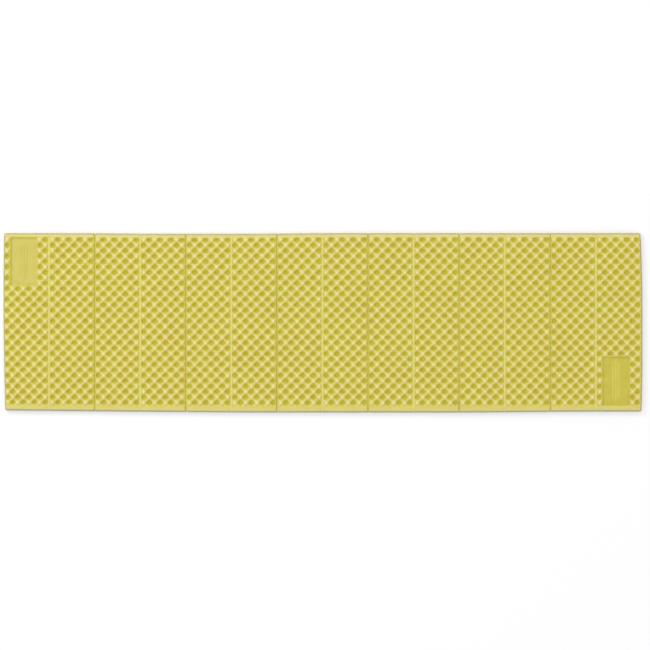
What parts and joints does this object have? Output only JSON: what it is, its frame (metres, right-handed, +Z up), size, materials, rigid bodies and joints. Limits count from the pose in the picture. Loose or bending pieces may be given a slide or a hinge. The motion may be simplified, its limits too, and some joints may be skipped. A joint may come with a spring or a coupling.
{
  "type": "foam sleeping pad",
  "caption": "Accordion-fold closed-cell foam sleeping pad: egg-crate panels joined by pressed hinge strips, so it opens flat as a bed and folds into a compact block.",
  "frame": {"origin": "centre of the open pad's footprint, on the surface it lies on", "axes": "+X along the pad's length, +Y across its width, +Z up from the underside to the sleeping side"},
  "size_m": [1.83, 0.51, 0.02],
  "materials": {
    "foam": "matte closed-cell foam, cream on the peaks and deeper yellow in the dimples, with a silver-grey film on the underside",
    "pressed_foam": "the same foam pressed thin and dense along the fold lines, darker and slightly smoother"
  },
  "bodies": {
    "panel_01": {"panel_01": "foam", "hinge_web_01": "pressed_foam"},
    "panel_02": {"panel_02": "foam", "hinge_web_02": "pressed_foam"},
    "panel_03": {"panel_03": "foam", "hinge_web_03": "pressed_foam"},
    "panel_04": {"panel_04": "foam", "hinge_web_04": "pressed_foam"},
    "panel_05": {"panel_05": "foam", "hinge_web_05": "pressed_foam"},
    "panel_06": {"panel_06": "foam", "hinge_web_06": "pressed_foam"},
    "panel_07": {"panel_07": "foam", "hinge_web_07": "pressed_foam"},
    "panel_08": {"panel_08": "foam", "hinge_web_08": "pressed_foam"},
    "panel_09": {"panel_09": "foam", "hinge_web_09": "pressed_foam"},
    "panel_10": {"panel_10": "foam", "hinge_web_10": "pressed_foam"},
    "panel_11": {"panel_11": "foam", "hinge_web_11": "pressed_foam"},
    "panel_12": {"panel_12": "foam", "hinge_web_12": "pressed_foam"},
    "panel_13": {"panel_13": "foam", "hinge_web_13": "pressed_foam"},
    "panel_14": {"panel_14": "foam"}
  },
  "joints": [
    {"name": "top_fold_01", "type": "hinge", "parent": "panel_01", "child": "panel_02", "pos_m": [-0.78305, 0, 0.01535], "axis": [0, -1, 0], "range_deg": [0, 179.5], "deforming": ["hinge_web_01"]},
    {"name": "under_fold_02", "type": "hinge", "parent": "panel_02", "child": "panel_03", "pos_m": [-0.65274, 0, 0.00465], "axis": [0, 1, 0], "range_deg": [0, 179.5], "deforming": ["hinge_web_02"]},
    {"name": "top_fold_03", "type": "hinge", "parent": "panel_03", "child": "panel_04", "pos_m": [-0.52243, 0, 0.01535], "axis": [0, -1, 0], "range_deg": [0, 179.5], "deforming": ["hinge_web_03"]},
    {"name": "under_fold_04", "type": "hinge", "parent": "panel_04", "child": "panel_05", "pos_m": [-0.39212, 0, 0.00465], "axis": [0, 1, 0], "range_deg": [0, 179.5], "deforming": ["hinge_web_04"]},
    {"name": "top_fold_05", "type": "hinge", "parent": "panel_05", "child": "panel_06", "pos_m": [-0.26182, 0, 0.01535], "axis": [0, -1, 0], "range_deg": [0, 179.5], "deforming": ["hinge_web_05"]},
    {"name": "under_fold_06", "type": "hinge", "parent": "panel_06", "child": "panel_07", "pos_m": [-0.13151, 0, 0.00465], "axis": [0, 1, 0], "range_deg": [0, 179.5], "deforming": ["hinge_web_06"]},
    {"name": "top_fold_07", "type": "hinge", "parent": "panel_07", "child": "panel_08", "pos_m": [-0.0012, 0, 0.01535], "axis": [0, -1, 0], "range_deg": [0, 179.5], "deforming": ["hinge_web_07"]},
    {"name": "under_fold_08", "type": "hinge", "parent": "panel_08", "child": "panel_09", "pos_m": [0.12911, 0, 0.00465], "axis": [0, 1, 0], "range_deg": [0, 179.5], "deforming": ["hinge_web_08"]},
    {"name": "top_fold_09", "type": "hinge", "parent": "panel_09", "child": "panel_10", "pos_m": [0.25942, 0, 0.01535], "axis": [0, -1, 0], "range_deg": [0, 179.5], "deforming": ["hinge_web_09"]},
    {"name": "under_fold_10", "type": "hinge", "parent": "panel_10", "child": "panel_11", "pos_m": [0.38972, 0, 0.00465], "axis": [0, 1, 0], "range_deg": [0, 179.5], "deforming": ["hinge_web_10"]},
    {"name": "top_fold_11", "type": "hinge", "parent": "panel_11", "child": "panel_12", "pos_m": [0.52003, 0, 0.01535], "axis": [0, -1, 0], "range_deg": [0, 179.5], "deforming": ["hinge_web_11"]},
    {"name": "under_fold_12", "type": "hinge", "parent": "panel_12", "child": "panel_13", "pos_m": [0.65034, 0, 0.00465], "axis": [0, 1, 0], "range_deg": [0, 179.5], "deforming": ["hinge_web_12"]},
    {"name": "top_fold_13", "type": "hinge", "parent": "panel_13", "child": "panel_14", "pos_m": [0.78065, 0, 0.01535], "axis": [0, -1, 0], "range_deg": [0, 179.5], "deforming": ["hinge_web_13"]}
  ]
}
